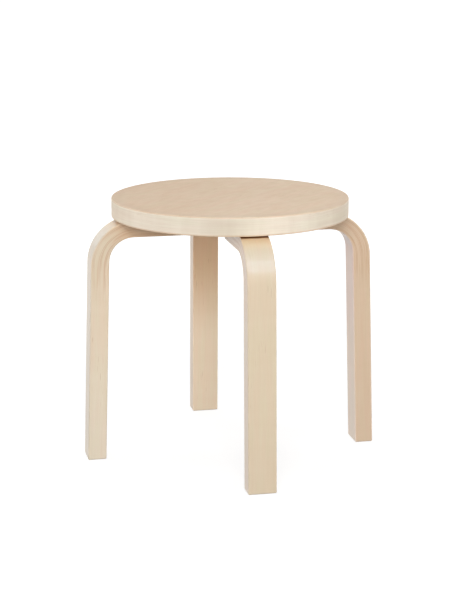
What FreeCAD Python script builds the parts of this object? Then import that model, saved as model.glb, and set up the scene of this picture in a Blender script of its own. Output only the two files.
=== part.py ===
import FreeCAD, Part
import math
import os

# Children's stacking stool: a round birch seat on four bent, slotted L-legs.
# Millimetres, +Z up, origin on the floor under the middle of the seat.
# The legs stand on the axes: front is -Y, right is +X.

# Seat
stool_height = 340.0
seat_diameter = 307.0
seat_thickness = 24.0
face_veneer_thickness = 1.5
edge_band_thickness = 6.0
seat_arris = 1.2

# Slanted scarf joint that closes the bent edge band, behind and to the left
scarf_slant = 18.0
scarf_direction = 135.0

# Legs
leg_width = 36.0
leg_thickness = 24.0
arm_thickness = 22.0
leg_splay = 1.8
outer_bend_radius = 59.0
bend_tightening = 3.0
arm_end_distance = 52.0
leg_arris = 1.4
foot_ease = 1.1

# Room between a leg and the rim of a second stool's seat when they are stacked
stacking_clearance = 7.5

# Veneers glued into the saw slots of each leg, so that it could be bent
veneer_count = 5
veneer_thickness = 1.5
slot_below_bend = 45.0

# Wood screws that hold each leg to the seat
screw_diameter = 4.5
screw_root_diameter = 3.2
screw_head_diameter = 8.8
screw_rim = 0.5
screw_bite = 14.0
screw_tip = 4.0
thread_pitch = 2.2
thread_crest_share = 0.3
thread_foot_share = 0.6
recess_length = 5.0
recess_width = 1.1
recess_depth = 2.2
screw_end_distance = 15.0
screw_bend_distance = 15.0
screw_row_spacing = 18.0

# Fits
glue_line = 0.05
screw_play = 0.25
hole_end_play = 1.0

# Largest chamfer of a foot, as a share of its rounded edges, and largest rounding of the seat's rim
foot_ease_limit = 0.9
seat_arris_limit = 0.4

leg_directions = {"front": -90.0, "right": 0.0, "back": 90.0, "left": 180.0}
quarter_turn = 90.0
full_turn = 360.0

# Two places nearer than this are the same
same_place = 0.01

V = FreeCAD.Vector
middle = V(0, 0, 0)
up = V(0, 0, 1)

seat_radius = seat_diameter / 2
seat_underside = stool_height - seat_thickness
arm_underside = seat_underside - arm_thickness
core_radius = seat_radius - edge_band_thickness
core_bottom = seat_underside + face_veneer_thickness
core_top = stool_height - face_veneer_thickness
# The bend is a little thinner than the leg, so its inner radius isn't just one thickness less
inner_bend_radius = outer_bend_radius - leg_thickness - bend_tightening
slot_pitch = min(arm_thickness, leg_thickness) / (veneer_count + 1)

# Directions in the side view of the right leg: square to its faces, and along it to the floor
splay = math.radians(leg_splay)
outward = V(math.cos(splay), 0, math.sin(splay))
downward = V(math.sin(splay), 0, -math.cos(splay))


def inner_bend_centre():
    """Middle of the inner bend, placed so that a stacked seat clears the leg."""
    inner_face = seat_radius + stacking_clearance
    return V(inner_face - inner_bend_radius * outward.x, 0, arm_underside - inner_bend_radius)


def outer_bend_centre():
    """Middle of the outer bend, one leg thickness out from the inner face."""
    inner_face = inner_bend_centre().dot(outward) + inner_bend_radius
    height = seat_underside - outer_bend_radius
    reach = inner_face + leg_thickness - outer_bend_radius
    return V((reach - height * outward.z) / outward.x, 0, height)


def bent_line(centre, radius, straight):
    """One long line of the leg in side view: straight part, bend, then arm to its end."""
    bend_start = centre + outward * radius
    crown = centre + up * radius
    half_turn = (math.pi / 2 + splay) / 2
    halfway = centre + V(math.cos(half_turn), 0, math.sin(half_turn)) * radius
    foot = bend_start + downward * straight
    arm_end = V(arm_end_distance, 0, crown.z)
    return [
        Part.LineSegment(foot, bend_start).toShape(),
        Part.Arc(bend_start, halfway, crown).toShape(),
        Part.LineSegment(crown, arm_end).toShape(),
    ]


def line_to_floor(centre, radius):
    """Long line of the leg whose straight part runs down to the floor."""
    bend_start = centre + outward * radius
    return bent_line(centre, radius, bend_start.z / math.cos(splay))


def bent_bar(outer_line, inner_line, width):
    """Bar of the given width between two long lines, about the plane of the leg."""
    foot = Part.makeLine(inner_line[0].Vertexes[0].Point, outer_line[0].Vertexes[0].Point)
    tip = Part.makeLine(outer_line[-1].Vertexes[-1].Point, inner_line[-1].Vertexes[-1].Point)
    outline = Part.Wire([foot] + outer_line + [tip] + inner_line[::-1])
    outline.translate(V(0, -width / 2, 0))
    return Part.Face(outline).extrude(V(0, width, 0))


def long_edges(bar):
    """Edges that run along the leg, without those of its foot and of its arm's end."""
    found = []
    for edge in bar.Edges:
        ends = [vertex.Point for vertex in edge.Vertexes]
        across = abs(ends[0].y - ends[-1].y) > leg_width / 2
        at_foot = max(abs(point.z) for point in ends) < same_place
        at_tip = max(abs(point.x - arm_end_distance) for point in ends) < same_place
        if not (across or at_foot or at_tip):
            found.append(edge)
    return found


def foot_edges(bar):
    """Edges of the face that stands on the floor."""
    return [edge for edge in bar.Edges if abs(edge.BoundBox.ZMax) < same_place]


def screw_places():
    """Middles of the three screws of the right leg, on the arm's underside."""
    inner = arm_end_distance + screw_end_distance
    outer = outer_bend_centre().x - screw_bend_distance
    side = screw_row_spacing / 2
    return [
        V(inner, 0, arm_underside),
        V(outer, side, arm_underside),
        V(outer, -side, arm_underside),
    ]


def screw_holes():
    """Countersunk holes through the arm and on into the seat, for one leg."""
    depth = arm_thickness + screw_bite + hole_end_play
    radius = screw_diameter / 2 + screw_play
    head_radius = screw_head_diameter / 2 + screw_play
    sink = head_radius - radius
    hole = Part.makeCylinder(radius, depth)
    rim = Part.makeCylinder(head_radius, screw_rim)
    cone = Part.makeCone(head_radius, radius, sink, V(0, 0, screw_rim))
    hole = hole.fuse([rim, cone]).removeSplitter()
    return Part.makeCompound([hole.translated(place) for place in screw_places()])


def slot_strip(number, play):
    """Veneer, or with play its saw slot, counted from the outer face."""
    depth = slot_pitch * number
    half = veneer_thickness / 2 + play
    centre = outer_bend_centre()
    straight = slot_below_bend + play
    outer_line = bent_line(centre, outer_bend_radius - depth + half, straight)
    inner_line = bent_line(centre, outer_bend_radius - depth - half, straight)
    return bent_bar(outer_line, inner_line, leg_width)


def make_leg():
    """Solid birch leg with its saw slots and screw holes."""
    outer_line = line_to_floor(outer_bend_centre(), outer_bend_radius)
    inner_line = line_to_floor(inner_bend_centre(), inner_bend_radius)
    leg = bent_bar(outer_line, inner_line, leg_width)
    leg = leg.makeFillet(leg_arris, long_edges(leg))
    leg = leg.makeChamfer(min(foot_ease, foot_ease_limit * leg_arris), foot_edges(leg))
    slots = [slot_strip(number, glue_line) for number in range(1, veneer_count + 1)]
    return leg.cut(slots + [screw_holes()])


def make_bend_veneer(number):
    """Thin veneer that fills one slot, drilled with the leg."""
    return slot_strip(number, 0.0).cut(screw_holes())


def make_screw():
    """Countersunk wood screw, head down at the origin and point up."""
    length = arm_thickness + screw_bite
    radius = screw_diameter / 2
    root = screw_root_diameter / 2
    head = screw_head_diameter / 2
    shank_top = arm_thickness
    outline = [V(0, 0, 0), V(head, 0, 0), V(head, 0, screw_rim)]
    outline += [V(root, 0, screw_rim + head - root), V(root, 0, shank_top)]
    turns = int((screw_bite - screw_tip) / thread_pitch)
    for turn in range(turns):
        height = shank_top + turn * thread_pitch
        outline.append(V(radius, 0, height + thread_pitch * thread_crest_share))
        outline.append(V(root, 0, height + thread_pitch * thread_foot_share))
        outline.append(V(root, 0, height + thread_pitch))
    outline += [V(root, 0, length - screw_tip), V(0, 0, length), V(0, 0, 0)]
    screw = Part.Face(Part.makePolygon(outline)).revolve(middle, up, full_turn)
    bar = Part.makeBox(recess_length, recess_width, recess_depth)
    bar.translate(V(-recess_length / 2, -recess_width / 2, 0))
    crossbar = bar.rotated(middle, up, quarter_turn)
    return screw.cut([bar, crossbar])


def make_seat_blank():
    """Whole seat with its rounded rim, which the layers are cut from."""
    blank = Part.makeCylinder(seat_radius, seat_thickness, V(0, 0, seat_underside))
    rims = [edge for edge in blank.Edges if edge.BoundBox.ZLength < same_place]
    return blank.makeFillet(min(seat_arris, seat_arris_limit * seat_thickness), rims)


def seat_layer(bottom, top):
    """Slice of the seat between two heights, cut out with a slab much wider than the seat."""
    slab = Part.makeCylinder(seat_diameter, top - bottom, V(0, 0, bottom))
    return make_seat_blank().common(slab)


def all_screw_holes():
    """Holes of every leg, where they enter the seat."""
    return [screw_holes().rotated(middle, up, turn) for turn in leg_directions.values()]


def make_seat_top_veneer():
    """Face veneer that is sat on."""
    return seat_layer(core_top, stool_height)


def make_seat_core():
    """Core board inside the edge band, with the blind screw holes."""
    core = Part.makeCylinder(core_radius - glue_line, core_top - core_bottom, V(0, 0, core_bottom))
    return core.cut(all_screw_holes())


def make_seat_underside_veneer():
    """Balancing veneer that the arms bear on."""
    return seat_layer(seat_underside, core_bottom).cut(all_screw_holes())


def make_seat_edge_band():
    """Bent birch strip round the core, its ends meeting in a slanted scarf joint."""
    height = core_top - core_bottom
    inside = Part.makeCylinder(core_radius, height, V(0, 0, core_bottom))
    band = seat_layer(core_bottom, core_top).cut(inside)
    length = seat_radius / 2
    cut = Part.makeBox(length, glue_line, height, V(-length / 2, 0, core_bottom))
    cut.rotate(middle, up, scarf_slant)
    cut.translate(V(0, seat_radius - edge_band_thickness / 2, 0))
    cut.rotate(middle, up, scarf_direction - quarter_turn)
    return band.cut(cut)


def export(name, shape):
    """Write one piece, or one group of like pieces, under its name."""
    shape.exportStep("parts/" + name + ".step")


os.makedirs("parts", exist_ok=True)

export("seat_top_veneer", make_seat_top_veneer())
export("seat_core", make_seat_core())
export("seat_edge_band", make_seat_edge_band())
export("seat_underside_veneer", make_seat_underside_veneer())

leg = make_leg()
for side, turn in leg_directions.items():
    export("leg_" + side, leg.rotated(middle, up, turn))

for number in range(1, veneer_count + 1):
    veneer = make_bend_veneer(number)
    for side, turn in leg_directions.items():
        export("bend_veneer_" + side + "_" + str(number), veneer.rotated(middle, up, turn))

screw = make_screw()
screws = []
for turn in leg_directions.values():
    screws += [screw.translated(place).rotated(middle, up, turn) for place in screw_places()]
export("leg_screws", Part.makeCompound(screws))
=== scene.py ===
import bpy
import math
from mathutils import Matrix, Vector


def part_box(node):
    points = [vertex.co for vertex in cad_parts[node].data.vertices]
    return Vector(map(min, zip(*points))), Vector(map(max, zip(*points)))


# Looks of the round birch stacking stool: clear-lacquered wood, plain studio, one camera.
# Metres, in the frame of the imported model: +Z up, legs on the axes, front leg towards -Y.

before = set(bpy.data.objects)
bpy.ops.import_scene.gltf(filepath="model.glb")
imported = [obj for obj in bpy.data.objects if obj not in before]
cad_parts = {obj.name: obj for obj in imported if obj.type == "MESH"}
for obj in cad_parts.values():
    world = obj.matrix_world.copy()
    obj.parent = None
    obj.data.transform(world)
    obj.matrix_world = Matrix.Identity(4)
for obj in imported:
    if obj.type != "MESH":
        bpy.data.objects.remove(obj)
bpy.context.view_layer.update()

# Sizes of a leg, which its grain follows round the bend, and the gap between it and a stacked seat
OUTER_BEND_RADIUS = 0.059
INNER_BEND_RADIUS = 0.032
LEG_SPLAY = math.radians(1.8)
LEG_THICKNESS = 0.024
ARM_THICKNESS = 0.022
STACKING_CLEARANCE = 0.0075

# Side on which each leg stands, in degrees from the X axis
LEG_TURNS = {"front": -90, "right": 0, "back": 90, "left": 180}

# Veneers glued into the saw slots of each leg, and how far below the bend the slots end
VENEERS_PER_LEG = 5
VENEER_THICKNESS = 0.0015
SLOT_BELOW_BEND = 0.045

# Width of a leg, and sizes and heights of the seat, from the frame
LEG_WIDTH = 2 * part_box("leg_front")[1].x
BAND_LOW, BAND_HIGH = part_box("seat_edge_band")
SEAT_RADIUS = (BAND_HIGH.x - BAND_LOW.x) / 2
SEAT_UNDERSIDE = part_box("seat_underside_veneer")[0].z
SEAT_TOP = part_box("seat_top_veneer")[1].z

# Middles of a leg's two bends, as distance from the stool's axis and height, from the frame and the sizes
SIN_SPLAY = math.sin(LEG_SPLAY)
COS_SPLAY = math.cos(LEG_SPLAY)
OUTER_HEIGHT = SEAT_UNDERSIDE - OUTER_BEND_RADIUS
INNER_HEIGHT = SEAT_UNDERSIDE - ARM_THICKNESS - INNER_BEND_RADIUS
INNER_REACH = SEAT_RADIUS + STACKING_CLEARANCE - INNER_BEND_RADIUS * COS_SPLAY
INNER_FACE = INNER_REACH * COS_SPLAY + INNER_HEIGHT * SIN_SPLAY + INNER_BEND_RADIUS
OUTER_REACH = (INNER_FACE + LEG_THICKNESS - OUTER_BEND_RADIUS - OUTER_HEIGHT * SIN_SPLAY) / COS_SPLAY

# Wood colours, as screen values: a leg's broad faces are face veneers, its sides show the bent layers
# The legs' broad faces differ partly as the wood does and partly as painted light: the back leg's are
# lighter to make up for light it lacks, and the left and right legs' are cooler, painted cool light from
# the left
LEG_FACES = {
    "front": (222, 206, 181),
    "right": (238, 222, 208),
    "back": (253, 232, 206),
    "left": (225, 212, 193),
}
LEG_SIDES = {
    "front": (233, 216, 199),
    "right": (218, 194, 168),
    "back": (227, 208, 187),
    "left": (232, 216, 193),
}
SEAT_COLOUR = (239, 215, 188)
BAND_COLOUR = (240, 229, 211)
CORE_COLOUR = (196, 168, 130)

# Tones: what multiplies a colour's red, green and blue where the wood departs from it.
# All wood runs between the pale and the deep tone with its figure, and has the others in places.
PALE = (1.05, 1.055, 1.06)
DEEP = (0.95, 0.89, 0.82)
ROSY = (1.015, 0.985, 0.975)
STRAW = (0.985, 1.01, 0.97)
FLECK = (0.62, 0.46, 0.34)
GLUE = (0.76, 0.56, 0.42)
# Painted highlight along the rounded arrises of the legs
ARRIS_HIGHLIGHT = (1.04, 1.06, 1.08)

# Tones of the legs: dashes of the bent layers, painted shade on the arm under the seat, a painted
# highlight on the bend and painted light on the crown of the broad faces, and painted shade in the pocket
# between the arm and the seat
BENT_DARK = (0.935, 0.86, 0.79)
BENT_PALE = (1.04, 1.065, 1.09)
UNDER_SEAT_SHADE = (0.99, 0.84, 0.72)
BEND_HIGHLIGHT = (0.985, 1.015, 1.06)
CROWN_LIGHT = (1.17, 1.11, 1.02)
POCKET_SHADE = (0.28, 0.16, 0.08)

# Tones of a leg's inner face towards the seat, which keeps the light off it
INNER_SHADES = {
    "front": (0.93, 0.79, 0.67),
    "right": (0.915, 0.878, 0.934),
    "back": (0.93, 0.79, 0.67),
    "left": (0.99, 0.96, 0.935),
}

# Tones of a leg's sides near its foot
FOOT_TONES = {
    "front": (1.0, 1.0, 1.0),
    "right": (1.03, 1.035, 1.045),
    "back": (1.0, 1.0, 1.0),
    "left": (1.05, 1.09, 1.14),
}

# How much the broad faces and the sides of a leg's arm take of the painted shade under the seat
FACE_SHADE_SHARE = {"front": 0.5, "right": 0.1, "back": 1.0, "left": 0.85}
SIDE_SHADE_SHARE = {"front": 0.0, "right": 0.1, "back": 1.0, "left": 0.8}

# Tones of the seat's face: painted shade towards its left, a ring inside the rim, and a painted highlight
# on the rounded rim
SEAT_LEFT_SHADE = (0.93, 0.91, 0.885)
RIM_RING = (0.955, 0.955, 0.965)
RIM_HIGHLIGHT = (1.03, 1.06, 1.09)

# Tones of the edge band: deep grain, a painted highlight on its upper edge, one deeper cloud, and painted
# shade away from the front
BAND_DEEP = (0.92, 0.885, 0.86)
BAND_TOP_HIGHLIGHT = (1.05, 1.06, 1.06)
BAND_CLOUD = (0.9, 0.88, 0.87)
BAND_AWAY_SHADE = (1.0, 0.95, 0.895)

# How strongly some of these tones show, from 0 to 1
HUE_STRENGTH = 0.5
FLECK_STRENGTH = 0.5
GLUE_LINE_STRENGTH = 0.75
ARRIS_HIGHLIGHT_STRENGTH = 0.5
BAND_JOINT_STRENGTH = 0.7

# Figure of the wood, in layers of noise: features per metre along and across the grain, and how
# strongly each layer shows
LEG_FIGURE = {
    "broad": (4, 60, 0.25),
    "streaks": (9, 240, 0.45),
    "fibres": (22, 1100, 0.7),
    "curl": (70, 12, 0.3),
}
SEAT_FIGURE = {
    "broad": (7, 9, 1.0),
    "streaks": (40, 120, 1.3),
    "fibres": (22, 1100, 0.9),
    "curl": (60, 60, 0.6),
}
BAND_FIGURE = {
    "broad": (22, 4, 1.1),
    "streaks": (9, 240, 1.0),
    "fibres": (22, 1100, 1.1),
    "curl": (75, 12, 1.0),
}

# Detail of these layers, and how far the first one shifts with a piece's seed.
# Each next one shifts by 1 more.
FIGURE_DETAIL = 3.0
FIGURE_SHIFT = 1.3

# Other noises: features per metre each way, detail, and how far they shift with a piece's seed
HUE_NOISE = ((14, 90, 90), 2.0, 4.3)
FLECK_NOISE = ((45, 900, 900), 1.0, 5.9)
CLUSTER_NOISE = ((12, 45, 45), 0.0, 6.1)
LINE_BREAK_NOISE = ((24, 0, 330), 1.0, 1.0)
DASH_NOISE = ((15, 60, 620), 2.0, 2.9)
STEEL_NOISE = ((900, 900, 4000), 3.0, 0.0)

# Value that a noise has on average
NOISE_MIDDLE = 0.5

# Every fade is a pair: where a feature starts to show, and where it shows in full.
# These are values of a noise.
ROSY_FADE = (0.45, 0.62)
STRAW_FADE = (0.55, 0.38)
FLECK_FADE = (0.68, 0.76)
CLUSTER_FADE = (0.53, 0.65)
LINE_BREAK_FADE = (0.32, 0.58)
DARK_DASH_FADE = (0.54, 0.62)
PALE_DASH_FADE = (0.44, 0.36)

# Fades along a leg, measured up from the lower end of its bend
BENT_FADE = (-SLOT_BELOW_BEND, -SLOT_BELOW_BEND / 3)
SIDE_SHADE_FADE = (0.03, 0.085)
FACE_SHADE_FADE = (0.05, 0.11)
BEND_HIGHLIGHT_LOWER_FADE = (0.014, 0.030)
BEND_HIGHLIGHT_UPPER_FADE = (0.056, 0.040)
CROWN_LIGHT_FADE = (0.045, 0.067)
POCKET_SHADE_FADE = (0.0687, 0.0717)

# Fades with the height above the floor
FOOT_FADE = (0.22, 0.03)
INNER_SHADE_FADE = (0.10, 0.235)

# Fades with the distance in from a leg's broad face, its side, its arris and the middle of a glue line
FACE_SKIN = 0.0016
FACE_FADE = (FACE_SKIN, FACE_SKIN / 3)
GLUE_DEPTH_FADE = (0.0015, 0.0022)
POCKET_SHADE_SIDE_FADE = (0.0002, 0.001)
ARRIS_FADE = (0.0022, 0.0004)
GLUE_LINE_FADE = (0.0005, 0.00005)

# Fades with the distance in from the seat's rim, and from the band's upper and lower edge
RIM_RING_FADE = (0.022, 0.003)
RIM_HIGHLIGHT_FADE = (0.0014, 0.0005)
BAND_TOP_HIGHLIGHT_FADE = (0.0022, 0.0008)
BAND_JOINT_FADE = (0.0006, 0.0001)

# Fade of the painted shade towards the back of the seat, as the band turns away from the front
BAND_AWAY_SHADE_FADE = (-0.8 * SEAT_RADIUS, -0.2 * SEAT_RADIUS)

# Cloud on the band: where its middle is, measured round the rim from the front leg towards the right,
# and how far it reaches each way
BAND_CLOUD_PLACE = -0.034
BAND_CLOUD_REACH = 0.045

# The seat's own left and back, for its painted shade, lie turned by this much from the axes
TONE_TURN = math.radians(-12.07)

# Directions of the grain on the seat's two faces, turned from the X axis
SEAT_GRAIN_TURN = math.radians(48)
UNDERSIDE_GRAIN_TURN = math.radians(-12)

# Seeds, which give each piece a figure of its own
LEG_SEED = 2.0
BEND_VENEER_SEED = 40.0
NEXT_LEG_SEED = 7.3
SEAT_SEED = 11.0
UNDERSIDE_SEED = 23.0
BAND_SEED = 13.0
CORE_SEED = 3.0

# Lacquer of the wood: how rough and how glossy it is, and the relief of the grain under it
LACQUER_ROUGHNESS = 0.38
FIBRE_ROUGHNESS = 0.14
SEAT_ADDED_ROUGHNESS = 0.08
WOOD_SPECULAR = 0.4
BAND_SPECULAR = 0.25
LEG_COAT = 0.3
COAT_ROUGHNESS = 0.12
FIBRE_RELIEF = 0.7
STREAK_RELIEF = 0.5
WOOD_BUMP = 0.15
BUMP_HEIGHT = 0.0004

# Zinc-plated steel of the screws
STEEL_DARK = (176, 178, 180)
STEEL_PALE = (208, 208, 206)
STEEL_ROUGHNESS = 0.28
STEEL_MARK_ROUGHNESS = 0.2
STEEL_BUMP = 0.05

# Camera, fitted to the photograph of 460 by 613 pixels
PHOTO_WIDTH = 460
PHOTO_FOCAL = 1702
SENSOR_WIDTH = 36
CAMERA_DISTANCE = 2.176
CAMERA_HEIGHT = 0.7145
CAMERA_TURN = math.radians(12.07)
CAMERA_PITCH = math.radians(13.48)

# Floor: what it sends back to the stool, and what the camera sees of it, near the stool and far away
FLOOR_SIZE = 200
FLOOR_GAP = 0.0002
FLOOR_BOUNCE = 0.22
FLOOR_SHADE = 0.35
FLOOR_GLOW_NEAR = 0.78
FLOOR_GLOW_FAR = 0.95
FLOOR_GLOW_FADE = (0.4, 1.0)

# Surroundings: the light that they give, and what the camera and reflections see of them
SKY_LIGHT = 0.27
MIRRORED_SKY = 1.0

# Square lamps: place, size, power and tint
LAMPS = {
    "key_lamp": ((-0.6, -2.5, 1.15), 1.3, 46, (1.0, 1.0, 1.0)),
    "high_lamp": ((0.3, -2.1, 2.0), 0.8, 3.5, (1.0, 1.0, 1.0)),
    "glint_lamp": ((0.3, -2.1, 2.0), 1.1, 33, (0.72, 0.98, 1.4)),
    "top_lamp": ((0.0, 0.8, 2.6), 1.6, 13, (1.0, 1.0, 1.0)),
    "right_lamp": ((2.4, -1.5, 0.6), 1.0, 19, (1.0, 1.0, 1.0)),
    "left_lamp": ((-2.8, 0.9, 0.45), 1.0, 29, (1.0, 1.0, 1.0)),
    "rear_lamp": ((1.9, 2.5, 0.33), 0.64, 33, (1.0, 1.0, 1.0)),
    "back_lamp": ((-0.8, 3.0, 0.65), 0.8, 1.0, (1.0, 1.0, 1.0)),
}

# Lamps that only the gloss shows, and lamps whose reflection would burn out the seat, seen from behind
GLOSS_LAMPS = ("glint_lamp",)
UNMIRRORED_LAMPS = ("key_lamp", "high_lamp", "rear_lamp")

# Sockets of a mix node, which has some for numbers and others for colours
MIX_AMOUNT = 0
MIX_NUMBERS = (2, 3)
MIX_COLOURS = (6, 7)
MIXED_NUMBER = 0
MIXED_COLOUR = 2

# The screen's tone curve, which turns screen values into the linear ones that shaders take
SCREEN_WHITE = 255
SCREEN_TOE_END = 0.04045
SCREEN_TOE_SLOPE = 12.92
SCREEN_OFFSET = 0.055
SCREEN_POWER = 2.4


def linear_value(value):
    """Linear value of one screen value."""
    share = value / SCREEN_WHITE
    if share <= SCREEN_TOE_END:
        return share / SCREEN_TOE_SLOPE
    return ((share + SCREEN_OFFSET) / (1 + SCREEN_OFFSET)) ** SCREEN_POWER


def linear(colour):
    """Linear colour of three screen values."""
    return (*(linear_value(value) for value in colour), 1.0)


def toned(colour, tone):
    """Linear colour of three screen values, multiplied by a tone and kept within white."""
    return (*(min(1.0, linear_value(value) * factor) for value, factor in zip(colour, tone)), 1.0)


def grey(value):
    """Linear grey."""
    return (value, value, value, 1.0)


class Graph:
    """Node tree of a material or of the world, with short calls for the nodes used here."""

    def __init__(self, owner):
        self.owner = owner
        owner.use_nodes = True
        self.tree = owner.node_tree
        self.tree.nodes.clear()

    def add(self, kind, **settings):
        """New node."""
        node = self.tree.nodes.new(kind)
        for key, value in settings.items():
            setattr(node, key, value)
        return node

    def put(self, socket, value):
        """Link a socket, or set it where the value is a plain one."""
        if isinstance(value, bpy.types.NodeSocket):
            self.tree.links.new(value, socket)
        else:
            socket.default_value = value

    def math(self, operation, first, second=0.0):
        """Result of a sum, a comparison or a function."""
        node = self.add("ShaderNodeMath", operation=operation)
        self.put(node.inputs[0], first)
        self.put(node.inputs[1], second)
        return node.outputs[0]

    def add_up(self, first, second):
        """Sum."""
        return self.math("ADD", first, second)

    def minus(self, first, second):
        """Difference."""
        return self.math("SUBTRACT", first, second)

    def times(self, first, second):
        """Product."""
        return self.math("MULTIPLY", first, second)

    def distance(self, x, y):
        """Length of a line that goes this far each way."""
        return self.math("SQRT", self.add_up(self.times(x, x), self.times(y, y)))

    def choose(self, test, when_false, when_true):
        """One of two numbers, or a blend of them."""
        node = self.add("ShaderNodeMix", data_type="FLOAT")
        self.put(node.inputs[MIX_AMOUNT], test)
        self.put(node.inputs[MIX_NUMBERS[0]], when_false)
        self.put(node.inputs[MIX_NUMBERS[1]], when_true)
        return node.outputs[MIXED_NUMBER]

    def blend(self, amount, first, second, mode="MIX"):
        """Mix of two colours."""
        node = self.add("ShaderNodeMix", data_type="RGBA", blend_type=mode)
        self.put(node.inputs[MIX_AMOUNT], amount)
        self.put(node.inputs[MIX_COLOURS[0]], first)
        self.put(node.inputs[MIX_COLOURS[1]], second)
        return node.outputs[MIXED_COLOUR]

    def tint(self, colour, amount, tone):
        """Colour multiplied by a tone, as far as the amount says."""
        tinted = self.blend(1.0, colour, (*tone, 1.0), mode="MULTIPLY")
        return self.blend(amount, colour, tinted)

    def fade(self, value, start, full):
        """0 at the start and 1 where it is full, smoothly, also where full is the smaller value."""
        node = self.add("ShaderNodeMapRange", interpolation_type="SMOOTHSTEP")
        rising = start < full
        self.put(node.inputs["Value"], value)
        self.put(node.inputs["From Min"], min(start, full))
        self.put(node.inputs["From Max"], max(start, full))
        self.put(node.inputs["To Min"], 0.0 if rising else 1.0)
        self.put(node.inputs["To Max"], 1.0 if rising else 0.0)
        return node.outputs[0]

    def place(self, turn=0.0):
        """Object coordinates, turned back about the upright axis, as three numbers."""
        coordinates = self.add("ShaderNodeTexCoord").outputs["Object"]
        rotate = self.add("ShaderNodeVectorRotate", rotation_type="Z_AXIS")
        self.put(rotate.inputs["Vector"], coordinates)
        self.put(rotate.inputs["Angle"], -turn)
        split = self.add("ShaderNodeSeparateXYZ")
        self.put(split.inputs[0], rotate.outputs[0])
        return split.outputs[0], split.outputs[1], split.outputs[2]

    def noise(self, place, scales, detail, shift):
        """Noise from 0 to 1, with its own number of features per metre each way."""
        parts = [self.times(value, scale) for value, scale in zip(place, scales)]
        parts[0] = self.add_up(parts[0], shift)
        vector = self.add("ShaderNodeCombineXYZ")
        for socket, part in zip(vector.inputs, parts):
            self.put(socket, part)
        node = self.add("ShaderNodeTexNoise")
        self.put(node.inputs["Vector"], vector.outputs[0])
        self.put(node.inputs["Scale"], 1.0)
        self.put(node.inputs["Detail"], detail)
        return node.outputs["Fac"]

    def seeded(self, place, noise, seed):
        """One of the named noises, shifted by the piece's seed."""
        scales, detail, shift = noise
        return self.noise(place, scales, detail, seed * shift)

    def output(self, kind, shader):
        """Output node, which shows the shader."""
        self.put(self.add(kind).inputs["Surface"], shader.outputs[0])

    def finish(self, colour, roughness, height,
               bump=WOOD_BUMP, specular=WOOD_SPECULAR, coat=0.0, metal=0.0):
        """Shader with its relief, and the finished material."""
        shader = self.add("ShaderNodeBsdfPrincipled")
        self.put(shader.inputs["Base Color"], colour)
        self.put(shader.inputs["Roughness"], roughness)
        self.put(shader.inputs["Metallic"], metal)
        self.put(shader.inputs["Specular IOR Level"], specular)
        self.put(shader.inputs["Coat Weight"], coat)
        self.put(shader.inputs["Coat Roughness"], COAT_ROUGHNESS)
        relief = self.add("ShaderNodeBump")
        self.put(relief.inputs["Strength"], bump)
        self.put(relief.inputs["Distance"], BUMP_HEIGHT)
        self.put(relief.inputs["Height"], height)
        self.put(shader.inputs["Normal"], relief.outputs[0])
        self.output("ShaderNodeOutputMaterial", shader)
        return self.owner


def new_graph(name):
    """Node tree of a new material."""
    return Graph(bpy.data.materials.new(name))


class Birch:
    """Figure, relief and gloss of lacquered birch whose grain runs along the place's first number."""

    def __init__(self, graph, place, seed, figure):
        self.graph = graph
        self.shade = NOISE_MIDDLE
        layers = {}
        for number, (name, (along, across, strength)) in enumerate(figure.items()):
            shift = seed * (FIGURE_SHIFT + number)
            layer = graph.noise(place, (along, across, across), FIGURE_DETAIL, shift)
            departure = graph.times(graph.minus(layer, NOISE_MIDDLE), strength)
            self.shade = graph.add_up(self.shade, departure)
            layers[name] = layer
        hue = graph.seeded(place, HUE_NOISE, seed)
        self.rosy = graph.times(graph.fade(hue, *ROSY_FADE), HUE_STRENGTH)
        self.straw = graph.times(graph.fade(hue, *STRAW_FADE), HUE_STRENGTH)
        flecks = graph.fade(graph.seeded(place, FLECK_NOISE, seed), *FLECK_FADE)
        clusters = graph.fade(graph.seeded(place, CLUSTER_NOISE, seed), *CLUSTER_FADE)
        self.flecks = graph.times(graph.times(flecks, clusters), FLECK_STRENGTH)
        fibre_relief = graph.times(layers["fibres"], FIBRE_RELIEF)
        self.height = graph.add_up(fibre_relief, graph.times(layers["streaks"], STREAK_RELIEF))
        fibre_roughness = graph.times(layers["fibres"], FIBRE_ROUGHNESS)
        self.roughness = graph.add_up(LACQUER_ROUGHNESS, fibre_roughness)

    def colour(self, base, deep=DEEP):
        """Colour of the wood about a base colour."""
        colour = self.graph.blend(self.shade, toned(base, deep), toned(base, PALE))
        colour = self.graph.tint(colour, self.rosy, ROSY)
        colour = self.graph.tint(colour, self.straw, STRAW)
        return self.graph.tint(colour, self.flecks, FLECK)


def about_bend(graph, turn, reach, height):
    """Side view of a leg about a bend's middle: distances level, up, out of the leg and down it."""
    x, _, z = graph.place(turn)
    level = graph.minus(x, reach)
    rise = graph.minus(z, height)
    out = graph.add_up(graph.times(level, COS_SPLAY), graph.times(rise, SIN_SPLAY))
    down = graph.minus(graph.times(level, SIN_SPLAY), graph.times(rise, COS_SPLAY))
    return level, rise, out, down


def by_part(graph, level, down, leg, bend, arm):
    """One of three values, for a leg's straight part, its bend and its arm."""
    on_leg = graph.math("GREATER_THAN", down, 0.0)
    on_arm = graph.math("LESS_THAN", level, 0.0)
    return graph.choose(on_leg, graph.choose(on_arm, bend, arm), leg)


def bend_distance(graph, level, rise, out, down):
    """Distance from a bend's middle towards the broad faces, in any part of the leg."""
    return by_part(graph, level, down, out, graph.distance(level, rise), rise)


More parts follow.
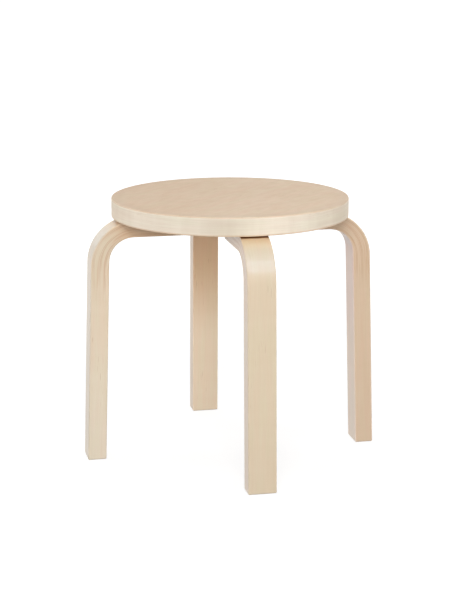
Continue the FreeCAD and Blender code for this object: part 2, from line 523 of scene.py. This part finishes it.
def leg_place(graph, turn):
    """Place in a leg unrolled from its bend: along it, across it, and in from its outer face."""
    level, rise, out, down = about_bend(graph, turn, OUTER_REACH, OUTER_HEIGHT)
    up = graph.times(down, -1.0)
    bend_length = OUTER_BEND_RADIUS * (math.pi / 2 - LEG_SPLAY)
    in_bend = graph.times(graph.math("ARCTAN2", up, out), OUTER_BEND_RADIUS)
    on_arm = graph.minus(bend_length, level)
    along = by_part(graph, level, down, up, in_bend, on_arm)
    across = graph.place(turn)[1]
    depth = graph.minus(OUTER_BEND_RADIUS, bend_distance(graph, level, rise, out, down))
    return along, across, depth


def inner_depth(graph, turn):
    """Distance in from the broad face that looks at the stool's middle."""
    level, rise, out, down = about_bend(graph, turn, INNER_REACH, INNER_HEIGHT)
    return graph.minus(bend_distance(graph, level, rise, out, down), INNER_BEND_RADIUS)


def glue_lines(graph, place, seed):
    """Where thin lines show beside every other saw slot, broken up as they are in real wood."""
    along, _, depth = place
    pitch = ARM_THICKNESS / (VENEERS_PER_LEG + 1)
    from_slot = graph.math("PINGPONG", depth, pitch)
    from_line = graph.math("ABSOLUTE", graph.minus(from_slot, pitch - VENEER_THICKNESS / 2))
    unbroken = graph.fade(graph.seeded(place, LINE_BREAK_NOISE, seed), *LINE_BREAK_FADE)
    line = graph.times(graph.fade(from_line, *GLUE_LINE_FADE), unbroken)
    line = graph.times(line, graph.fade(along, *BENT_FADE))
    return graph.times(line, graph.fade(depth, *GLUE_DEPTH_FADE))


def bent_dashes(graph, place, seed):
    """Short dark and pale dashes of the bent layers, as two amounts."""
    dashes = graph.seeded(place, DASH_NOISE, seed)
    bent = graph.fade(place[0], *BENT_FADE)
    dark = graph.times(bent, graph.fade(dashes, *DARK_DASH_FADE))
    pale = graph.times(bent, graph.fade(dashes, *PALE_DASH_FADE))
    return dark, pale


def leg_side_colour(graph, birch, place, side, seed):
    """Sides of a leg, which show its bent layers and the glue lines between them."""
    colour = birch.colour(LEG_SIDES[side])
    colour = graph.tint(colour, graph.fade(graph.place()[2], *FOOT_FADE), FOOT_TONES[side])
    lines = graph.times(glue_lines(graph, place, seed), GLUE_LINE_STRENGTH)
    colour = graph.tint(colour, lines, GLUE)
    dark, pale = bent_dashes(graph, place, seed)
    colour = graph.tint(colour, dark, BENT_DARK)
    colour = graph.tint(colour, pale, BENT_PALE)
    # Painted shade on the arm's sides under the seat
    shade = graph.times(graph.fade(place[0], *SIDE_SHADE_FADE), SIDE_SHADE_SHARE[side])
    return graph.tint(colour, shade, UNDER_SEAT_SHADE)


def leg_face_colour(graph, birch, along, side):
    """Broad faces of a leg, which are plain face veneers, with a painted highlight on the bend, painted
    light on the crown and painted shade under the seat.
    """
    colour = birch.colour(LEG_FACES[side])
    # Painted highlight on the lacquer of the bend
    bend_highlight = graph.times(graph.fade(along, *BEND_HIGHLIGHT_LOWER_FADE), graph.fade(along, *BEND_HIGHLIGHT_UPPER_FADE))
    colour = graph.tint(colour, bend_highlight, BEND_HIGHLIGHT)
    # Painted light on the crown just below the seat
    colour = graph.tint(colour, graph.fade(along, *CROWN_LIGHT_FADE), CROWN_LIGHT)
    # Painted shade on the arm's broad faces under the seat
    shade = graph.times(graph.fade(along, *FACE_SHADE_FADE), FACE_SHADE_SHARE[side])
    return graph.tint(colour, shade, UNDER_SEAT_SHADE)


def leg_wood(name, side, seed):
    """Birch of one leg: layered sides, plain broad faces, painted shade under the seat and in the pocket
    beside it, painted highlights on the arrises.
    """
    graph = new_graph(name)
    turn = math.radians(LEG_TURNS[side])
    place = leg_place(graph, turn)
    along, across, depth = place
    inner = inner_depth(graph, turn)
    nearest = graph.math("MINIMUM", depth, inner)
    from_side = graph.minus(LEG_WIDTH / 2, graph.math("ABSOLUTE", across))
    birch = Birch(graph, place, seed, LEG_FIGURE)
    sides = leg_side_colour(graph, birch, place, side, seed)
    faces = leg_face_colour(graph, birch, along, side)
    colour = graph.blend(graph.fade(nearest, *FACE_FADE), sides, faces)
    high = graph.fade(graph.place()[2], *INNER_SHADE_FADE)
    colour = graph.tint(colour, graph.times(high, graph.fade(inner, *FACE_FADE)), INNER_SHADES[side])
    # Painted shade in the pocket between the arm and the seat
    pocket_shade = graph.times(graph.fade(along, *POCKET_SHADE_FADE), graph.fade(depth, *FACE_FADE))
    pocket_shade = graph.times(pocket_shade, graph.fade(from_side, *POCKET_SHADE_SIDE_FADE))
    colour = graph.tint(colour, pocket_shade, POCKET_SHADE)
    # Painted highlight along the arrises
    arris = graph.fade(graph.add_up(from_side, nearest), *ARRIS_FADE)
    colour = graph.tint(colour, graph.times(arris, ARRIS_HIGHLIGHT_STRENGTH), ARRIS_HIGHLIGHT)
    return graph.finish(colour, birch.roughness, birch.height, coat=LEG_COAT)


def seat_veneer(name, seed, grain_turn):
    """Face veneer with straight grain across the seat, with painted shade towards its left and a painted
    highlight on the rounded rim.
    """
    graph = new_graph(name)
    x, y, z = graph.place(grain_turn)
    birch = Birch(graph, (x, y, z), seed, SEAT_FIGURE)
    colour = birch.colour(SEAT_COLOUR)
    left = graph.times(graph.place(TONE_TURN)[0], -1.0)
    # Painted shade towards the seat's left
    colour = graph.tint(colour, graph.fade(left, -SEAT_RADIUS, SEAT_RADIUS), SEAT_LEFT_SHADE)
    from_rim = graph.minus(SEAT_RADIUS, graph.distance(x, y))
    colour = graph.tint(colour, graph.fade(from_rim, *RIM_RING_FADE), RIM_RING)
    # Painted highlight on the rounded rim
    colour = graph.tint(colour, graph.fade(from_rim, *RIM_HIGHLIGHT_FADE), RIM_HIGHLIGHT)
    return graph.finish(colour, graph.add_up(birch.roughness, SEAT_ADDED_ROUGHNESS), birch.height)


def band_wood(name):
    """Bent edge band, whose grain runs round the rim."""
    graph = new_graph(name)
    x, y, z = graph.place()
    back = graph.place(TONE_TURN)[1]
    along = graph.times(graph.math("ARCTAN2", x, graph.times(y, -1.0)), SEAT_RADIUS)
    birch = Birch(graph, (along, z, graph.distance(x, y)), BAND_SEED, BAND_FIGURE)
    colour = birch.colour(BAND_COLOUR, BAND_DEEP)
    # Painted shade where the band turns away from the front
    colour = graph.tint(colour, graph.fade(back, *BAND_AWAY_SHADE_FADE), BAND_AWAY_SHADE)
    from_cloud = graph.math("ABSOLUTE", graph.minus(along, BAND_CLOUD_PLACE))
    colour = graph.tint(colour, graph.fade(from_cloud, BAND_CLOUD_REACH, 0.0), BAND_CLOUD)
    below_top = graph.minus(BAND_HIGH.z, z)
    # Painted highlight on the band's upper edge
    colour = graph.tint(colour, graph.fade(below_top, *BAND_TOP_HIGHLIGHT_FADE), BAND_TOP_HIGHLIGHT)
    joint = graph.fade(graph.minus(z, BAND_LOW.z), *BAND_JOINT_FADE)
    colour = graph.tint(colour, graph.times(joint, BAND_JOINT_STRENGTH), GLUE)
    return graph.finish(colour, birch.roughness, birch.height, specular=BAND_SPECULAR)


def core_board(name):
    """Core board, seen only where the seat is cut open."""
    graph = new_graph(name)
    birch = Birch(graph, graph.place(), CORE_SEED, SEAT_FIGURE)
    return graph.finish(birch.colour(CORE_COLOUR), birch.roughness, birch.height)


def screw_steel(name):
    """Zinc-plated steel with faint turning marks."""
    graph = new_graph(name)
    marks = graph.seeded(graph.place(), STEEL_NOISE, 0.0)
    colour = graph.blend(marks, linear(STEEL_DARK), linear(STEEL_PALE))
    roughness = graph.add_up(STEEL_ROUGHNESS, graph.times(marks, STEEL_MARK_ROUGHNESS))
    return graph.finish(colour, roughness, marks, bump=STEEL_BUMP, metal=1.0)


def dress(node, material):
    """Give a CAD node its material."""
    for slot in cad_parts[node].material_slots:
        slot.material = material


def dress_stool():
    """Every node's material."""
    for number, side in enumerate(LEG_TURNS):
        later = NEXT_LEG_SEED * number
        dress("leg_" + side, leg_wood("leg_wood_" + side, side, LEG_SEED + later))
        bend = leg_wood("bend_wood_" + side, side, BEND_VENEER_SEED + later)
        for layer in range(1, VENEERS_PER_LEG + 1):
            dress("bend_veneer_" + side + "_" + str(layer), bend)
    dress("seat_top_veneer", seat_veneer("seat_face", SEAT_SEED, SEAT_GRAIN_TURN))
    dress("seat_underside_veneer", seat_veneer("seat_underside", UNDERSIDE_SEED, UNDERSIDE_GRAIN_TURN))
    dress("seat_edge_band", band_wood("band_wood"))
    dress("seat_core", core_board("core_board"))
    dress("leg_screws", screw_steel("screw_steel"))


def seen_directly(graph):
    """1 for what the camera sees, also by reflection or through glass, and 0 for bounced light."""
    path = graph.add("ShaderNodeLightPath").outputs
    mirrored = graph.math("MAXIMUM", path["Is Glossy Ray"], path["Is Transmission Ray"])
    return graph.math("MAXIMUM", path["Is Camera Ray"], mirrored)


def floor_paint():
    """Grey for light that bounces. The camera sees it glow white, apart from the stool's shadow."""
    graph = new_graph("floor_paint")
    plain = graph.add("ShaderNodeBsdfDiffuse")
    graph.put(plain.inputs["Color"], grey(FLOOR_BOUNCE))
    shaded = graph.add("ShaderNodeBsdfDiffuse")
    graph.put(shaded.inputs["Color"], grey(FLOOR_SHADE))
    x, y, _ = graph.place()
    away = graph.fade(graph.distance(x, y), *FLOOR_GLOW_FADE)
    glow = graph.add("ShaderNodeEmission")
    graph.put(glow.inputs["Strength"], graph.choose(away, FLOOR_GLOW_NEAR, FLOOR_GLOW_FAR))
    white = graph.add("ShaderNodeAddShader")
    graph.put(white.inputs[0], shaded.outputs[0])
    graph.put(white.inputs[1], glow.outputs[0])
    mix = graph.add("ShaderNodeMixShader")
    graph.put(mix.inputs[0], seen_directly(graph))
    graph.put(mix.inputs[1], plain.outputs[0])
    graph.put(mix.inputs[2], white.outputs[0])
    graph.output("ShaderNodeOutputMaterial", mix)
    return graph.owner


def make_floor():
    """Pale floor, large enough for every view."""
    bpy.ops.mesh.primitive_plane_add(size=FLOOR_SIZE, location=(0, 0, -FLOOR_GAP))
    floor = bpy.context.object
    floor.name = "floor"
    floor.data.materials.append(floor_paint())


def make_lamp(name, place, size, power, tint):
    """Square area lamp aimed at the stool's middle."""
    data = bpy.data.lights.new(name, "AREA")
    data.shape = "SQUARE"
    data.size = size
    data.energy = power
    data.color = tint
    lamp = bpy.data.objects.new(name, data)
    lamp.location = place
    aim = Vector((0, 0, SEAT_TOP / 2)) - lamp.location
    lamp.rotation_euler = aim.to_track_quat("-Z", "Y").to_euler()
    lamp.visible_diffuse = name not in GLOSS_LAMPS
    lamp.visible_glossy = name not in UNMIRRORED_LAMPS
    bpy.context.collection.objects.link(lamp)


def make_light():
    """Even white surroundings, and the lamps."""
    world = bpy.data.worlds.new("studio")
    bpy.context.scene.world = world
    graph = Graph(world)
    sky = graph.add("ShaderNodeBackground")
    graph.put(sky.inputs["Color"], grey(1.0))
    graph.put(sky.inputs["Strength"], graph.choose(seen_directly(graph), SKY_LIGHT, MIRRORED_SKY))
    graph.output("ShaderNodeOutputWorld", sky)
    for name, (place, size, power, tint) in LAMPS.items():
        make_lamp(name, place, size, power, tint)


def make_camera():
    """Camera at the photograph's viewing angle."""
    data = bpy.data.cameras.new("camera")
    data.sensor_fit = "HORIZONTAL"
    data.sensor_width = SENSOR_WIDTH
    data.lens = PHOTO_FOCAL / PHOTO_WIDTH * SENSOR_WIDTH
    camera = bpy.data.objects.new("camera", data)
    sideways = -math.sin(CAMERA_TURN)
    back = -math.cos(CAMERA_TURN)
    camera.location = (CAMERA_DISTANCE * sideways, CAMERA_DISTANCE * back, CAMERA_HEIGHT)
    camera.rotation_euler = (math.pi / 2 - CAMERA_PITCH, 0, -CAMERA_TURN)
    bpy.context.collection.objects.link(camera)
    bpy.context.scene.camera = camera


dress_stool()
make_floor()
make_light()
make_camera()
bpy.context.scene.view_settings.view_transform = "Standard"
